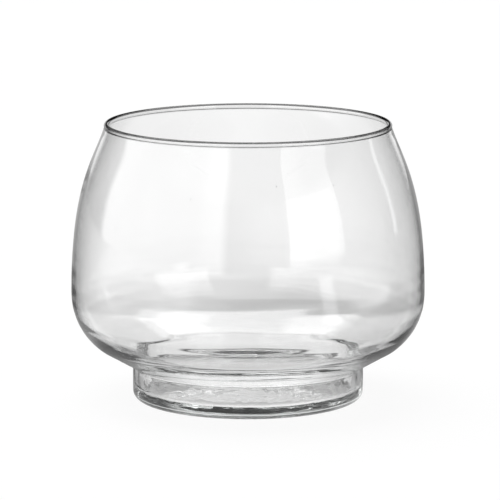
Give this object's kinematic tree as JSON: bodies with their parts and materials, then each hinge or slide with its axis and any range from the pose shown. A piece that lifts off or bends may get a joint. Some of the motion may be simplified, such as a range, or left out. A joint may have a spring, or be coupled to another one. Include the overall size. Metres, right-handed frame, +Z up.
{
  "type": "rose bowl vase",
  "caption": "Clear glass rose bowl vase: a round blown bowl with a wide open mouth and fire polished lip, standing on a short hollow foot.",
  "frame": {"origin": "on the axis, in the plane of the foot's resting ring", "axes": "+Z up along the vase's axis of revolution"},
  "size_m": [0.1905, 0.1904, 0.15],
  "materials": {
    "clear_glass": "clear, fire polished, faint grey green tint in the thick parts"
  },
  "bodies": {
    "root": {"bowl": "clear_glass", "foot": "clear_glass"}
  },
  "joints": []
}
